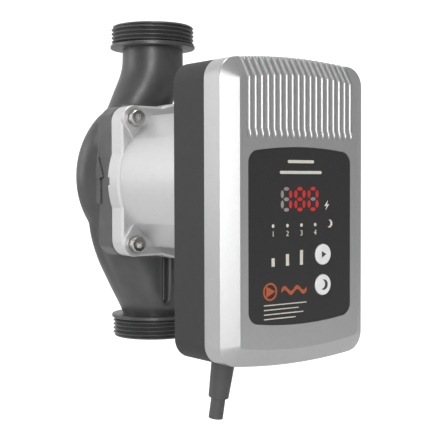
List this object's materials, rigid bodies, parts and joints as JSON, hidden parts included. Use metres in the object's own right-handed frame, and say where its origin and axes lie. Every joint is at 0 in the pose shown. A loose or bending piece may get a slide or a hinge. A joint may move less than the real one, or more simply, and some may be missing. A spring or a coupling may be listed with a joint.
{
  "type": "circulator pump",
  "caption": "Inline canned-rotor circulator pump for heating: cast volute with threaded ports, aluminium motor, control box with ribbed cover, display, buttons and cable.",
  "frame": {"origin": "centre of the inlet port's end face, on the port axis", "axes": "+Z along the port axis from inlet to outlet; the motor axis is along Y and the control panel faces -Y; +X is to the right seen from the panel"},
  "size_m": [0.0936, 0.1545, 0.2081],
  "materials": {
    "coated_iron": "satin grey cathodic coat over a cast surface",
    "housing_alloy": "fine shot-blasted die casting",
    "case_plastic": "fine spark-eroded texture",
    "cover_silver": "satin silver paint",
    "panel_film": "dark printed film",
    "display_red": "red light window",
    "display_grey": "unlit window",
    "panel_print": "cream light window",
    "button_white": "smooth moulded",
    "icon_dark": "printed",
    "zinc_steel": "zinc plated",
    "stainless": "drawn stainless sheet",
    "seal_rubber": "moulded EPDM",
    "impeller_plastic": "glass-filled, moulded",
    "bearing_carbon": "carbon-graphite",
    "shaft_ceramic": "ground",
    "magnet": "bonded ferrite",
    "lamination": "stacked sheet",
    "copper": "enamelled wire",
    "board_green": "solder mask",
    "part_black": "moulded",
    "part_white": "moulded",
    "capacitor_sleeve": "printed-free sleeve",
    "heat_gap_pad": "silicone pad",
    "clear_guide": "clear moulding",
    "cable_rubber": "matt sheath",
    "core_insulation": "insulated core"
  },
  "bodies": {
    "root": {"pump_housing": "coated_iron", "neck_ring": "stainless", "housing_seal": "seal_rubber", "bearing_plate": "stainless", "front_bearing": "bearing_carbon", "separation_can": "stainless", "rear_bearing": "bearing_carbon", "stator_core": "lamination", "stator_coils": "copper", "stator_leads": "copper", "stator_connector": "part_white", "motor_housing": "housing_alloy", "motor_bolts": "zinc_steel", "rear_case": "case_plastic", "case_gasket": "seal_rubber", "front_cover": "cover_silver", "cover_screws": "zinc_steel", "box_screws": "zinc_steel", "power_board": "board_green", "board_screws": "zinc_steel", "filter_capacitors": "capacitor_sleeve", "filter_choke": "copper", "power_module": "part_black", "heat_pad": "heat_gap_pad", "controller_chip": "part_black", "terminal_block": "part_white", "terminal_screws": "zinc_steel", "cable_cores": "core_insulation", "cord_clamp": "part_black", "clamp_screws": "zinc_steel", "strain_relief": "cable_rubber", "mains_cable": "cable_rubber", "board_header": "part_black", "display_board": "board_green", "display_screws": "zinc_steel", "display_module": "part_black", "indicator_leds": "part_white", "light_guides": "clear_guide", "button_switches": "part_black", "control_panel": "panel_film", "digits_lit": "display_red", "digits_unlit": "display_grey", "unit_mark": "panel_print", "mode_windows": "panel_print", "speed_windows": "panel_print", "night_window": "panel_print"},
    "rotor": {"impeller": "impeller_plastic", "rotor_shaft": "shaft_ceramic", "thrust_washer": "shaft_ceramic", "rotor_core": "magnet", "rotor_sleeve": "stainless"},
    "mode_key": {"button_mode": "button_white", "mode_icon": "icon_dark"},
    "night_key": {"button_night": "button_white", "night_icon": "icon_dark"}
  },
  "joints": [
    {"name": "rotor_spin", "type": "hinge", "parent": "root", "child": "rotor", "pos_m": [0, -0.05, 0.09], "axis": [0, 1, 0], "continuous": true},
    {"name": "mode_press", "type": "slide", "parent": "root", "child": "mode_key", "axis": [0, 1, 0], "range_m": [0, 0.0006], "stiffness_N_per_m": 1500},
    {"name": "night_press", "type": "slide", "parent": "root", "child": "night_key", "axis": [0, 1, 0], "range_m": [0, 0.0006], "stiffness_N_per_m": 1500}
  ]
}
